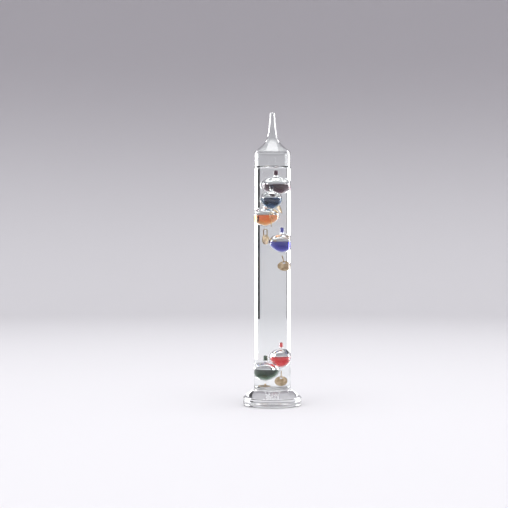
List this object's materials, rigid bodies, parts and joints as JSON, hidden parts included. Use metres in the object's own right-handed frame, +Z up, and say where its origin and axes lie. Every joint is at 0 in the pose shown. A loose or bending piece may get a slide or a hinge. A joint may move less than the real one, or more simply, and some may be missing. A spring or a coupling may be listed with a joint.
{
  "type": "galileo thermometer",
  "caption": "Sealed glass tube of clear liquid on a round glass foot, with blown-glass floats that rise or sink with temperature, each carrying a hanging brass tag.",
  "frame": {"origin": "centre of the foot's flat underside", "axes": "+Z up along the tube; +X to the right and -Y towards the viewer in the front view"},
  "size_m": [0.0556, 0.0556, 0.28],
  "materials": {
    "clear_glass": "clear, fire-polished",
    "tag_brass": "satin, stamped",
    "link_wire": "bright drawn wire",
    "purple_liquid": "clear coloured liquid",
    "teal_liquid": "clear coloured liquid",
    "amber_liquid": "clear coloured liquid",
    "blue_liquid": "clear coloured liquid",
    "red_liquid": "clear coloured liquid",
    "green_liquid": "clear coloured liquid"
  },
  "bodies": {
    "vessel": {"base_foot": "clear_glass", "glass_tube": "clear_glass"},
    "purple_float": {"purple_float_bulb": "clear_glass", "purple_float_liquid": "purple_liquid", "purple_float_neck_liquid": "purple_liquid", "purple_float_seal": "clear_glass"},
    "purple_tag": {"purple_link": "link_wire", "purple_tag": "tag_brass"},
    "teal_float": {"teal_float_bulb": "clear_glass", "teal_float_liquid": "teal_liquid", "teal_float_neck_liquid": "teal_liquid", "teal_float_seal": "clear_glass"},
    "teal_tag": {"teal_link": "link_wire", "teal_tag": "tag_brass"},
    "amber_float": {"amber_float_bulb": "clear_glass", "amber_float_liquid": "amber_liquid", "amber_float_neck_liquid": "amber_liquid", "amber_float_seal": "clear_glass"},
    "amber_tag": {"amber_link": "link_wire", "amber_tag": "tag_brass"},
    "blue_float": {"blue_float_bulb": "clear_glass", "blue_float_liquid": "blue_liquid", "blue_float_neck_liquid": "blue_liquid", "blue_float_seal": "clear_glass"},
    "blue_tag": {"blue_link": "link_wire", "blue_tag": "tag_brass"},
    "red_float": {"red_float_bulb": "clear_glass", "red_float_liquid": "red_liquid", "red_float_neck_liquid": "red_liquid", "red_float_seal": "clear_glass"},
    "red_tag": {"red_link": "link_wire", "red_tag": "tag_brass"},
    "green_float": {"green_float_bulb": "clear_glass", "green_float_liquid": "green_liquid", "green_float_neck_liquid": "green_liquid", "green_float_seal": "clear_glass"},
    "green_tag": {"green_link": "link_wire", "green_tag": "tag_brass"}
  },
  "joints": [
    {"name": "purple_float_slide", "type": "slide", "parent": "vessel", "child": "purple_float", "axis": [0, 0, 1], "range_m": [-0.014, 0]},
    {"name": "purple_tag_swing", "type": "hinge", "parent": "purple_float", "child": "purple_tag", "pos_m": [0.002, 0.00645, 0.1963], "axis": [-0.2419, 0.9703, 0], "range_deg": [-20, 3]},
    {"name": "teal_float_slide", "type": "slide", "parent": "purple_float", "child": "teal_float", "axis": [0, 0, 1], "range_m": [-0.014, 0]},
    {"name": "teal_tag_swing", "type": "hinge", "parent": "teal_float", "child": "teal_tag", "pos_m": [-0.0007, -0.00443, 0.18289], "axis": [0, 0.9397, -0.342], "range_deg": [-25, 25]},
    {"name": "amber_float_slide", "type": "slide", "parent": "teal_float", "child": "amber_float", "axis": [0, 0, 1], "range_m": [-0.016, 0]},
    {"name": "amber_tag_swing", "type": "hinge", "parent": "amber_float", "child": "amber_tag", "pos_m": [-0.004, 0.00545, 0.16699], "axis": [0.5, 0.866, 0], "range_deg": [-4, 25]},
    {"name": "blue_float_slide", "type": "slide", "parent": "amber_float", "child": "blue_float", "axis": [0, 0, 1], "range_m": [-0.022, 0]},
    {"name": "blue_tag_swing", "type": "hinge", "parent": "blue_float", "child": "blue_tag", "pos_m": [0.00627, 0.00294, 0.14161], "axis": [0.9752, 0.1371, 0.1736], "range_deg": [-30, 30]},
    {"name": "green_float_slide", "type": "slide", "parent": "vessel", "child": "green_float", "axis": [0, 0, 1], "range_m": [0, 0.03]},
    {"name": "green_tag_swing", "type": "hinge", "parent": "green_float", "child": "green_tag", "pos_m": [-0.0039, 0.0055, 0.0194], "axis": [0.9744, -0.225, 0], "range_deg": [-15, 0]},
    {"name": "red_float_slide", "type": "slide", "parent": "green_float", "child": "red_float", "axis": [0, 0, 1], "range_m": [0, 0.036]},
    {"name": "red_tag_swing", "type": "hinge", "parent": "red_float", "child": "red_tag", "pos_m": [0.0061, -0.0008, 0.0322], "axis": [0.9848, 0.1736, 0], "range_deg": [-25, 25]}
  ]
}
